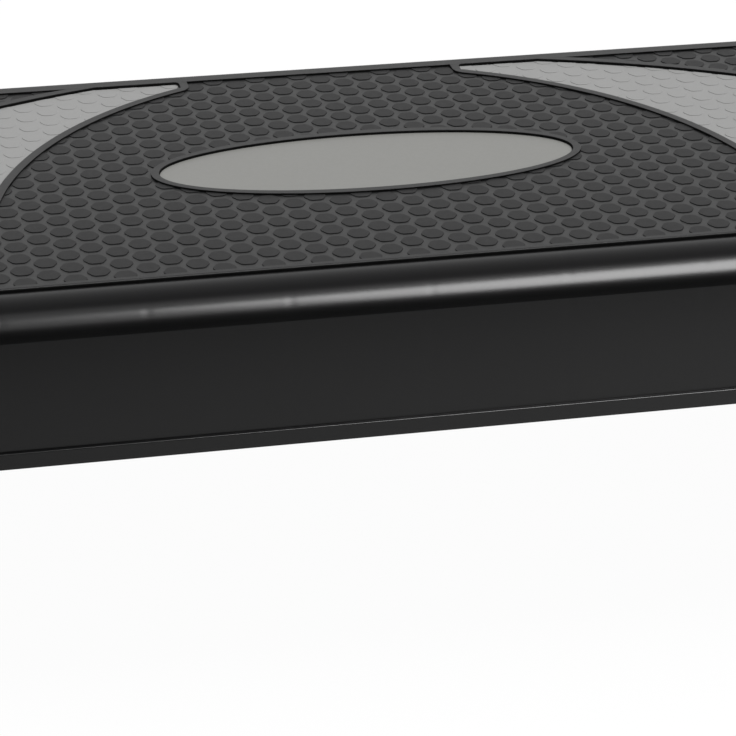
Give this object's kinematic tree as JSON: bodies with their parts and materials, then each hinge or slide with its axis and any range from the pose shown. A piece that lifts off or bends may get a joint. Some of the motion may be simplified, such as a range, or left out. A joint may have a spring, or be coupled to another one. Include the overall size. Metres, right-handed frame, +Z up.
{
  "type": "aerobic step platform",
  "caption": "Low oblong exercise step with a rounded black shell, a hexagon-studded rubber tread with grey inlays, and fold-over end legs that set its height.",
  "frame": {"origin": "on the floor under the middle of the deck, legs at the high setting", "axes": "+X along the deck to its right end, -Y to the front, +Z up"},
  "size_m": [0.78, 0.29, 0.2],
  "materials": {
    "deck_plastic": "satin-gloss moulded black",
    "tread_rubber": "moulded matt rubber with hexagon pads",
    "inlay_rubber": "light grey matt rubber with low hexagon pads",
    "badge_plastic": "satin grey plate",
    "rod_steel": "zinc-plated rod",
    "screw_steel": "zinc-plated screw",
    "cap_plastic": "moulded black",
    "leg_plastic": "fine-grained moulded black",
    "foot_rubber": "matt grip rubber"
  },
  "bodies": {
    "deck": {"deck_shell": "deck_plastic", "tread_mat": "tread_rubber", "left_tread_inlay": "inlay_rubber", "right_tread_inlay": "inlay_rubber", "badge_plate": "badge_plastic", "hinge_cap_screws": "screw_steel", "right_hinge_rod": "rod_steel", "right_front_hinge_cap": "cap_plastic", "right_rear_hinge_cap": "cap_plastic", "left_hinge_rod": "rod_steel", "left_front_hinge_cap": "cap_plastic", "left_rear_hinge_cap": "cap_plastic"},
    "right_leg": {"right_leg_frame": "leg_plastic", "right_front_high_strip": "foot_rubber", "right_front_middle_strip": "foot_rubber", "right_front_low_strip": "foot_rubber", "right_rear_high_strip": "foot_rubber", "right_rear_middle_strip": "foot_rubber", "right_rear_low_strip": "foot_rubber"},
    "left_leg": {"left_leg_frame": "leg_plastic", "left_front_high_strip": "foot_rubber", "left_front_middle_strip": "foot_rubber", "left_front_low_strip": "foot_rubber", "left_rear_high_strip": "foot_rubber", "left_rear_middle_strip": "foot_rubber", "left_rear_low_strip": "foot_rubber"}
  },
  "joints": [
    {"name": "right_leg_flip", "type": "hinge", "parent": "deck", "child": "right_leg", "pos_m": [0.2547, 0, 0.1203], "axis": [0, -1, 0], "range_deg": [-90, 90]},
    {"name": "left_leg_flip", "type": "hinge", "parent": "deck", "child": "left_leg", "pos_m": [-0.2547, 0, 0.1203], "axis": [0, 1, 0], "range_deg": [-90, 90]}
  ]
}
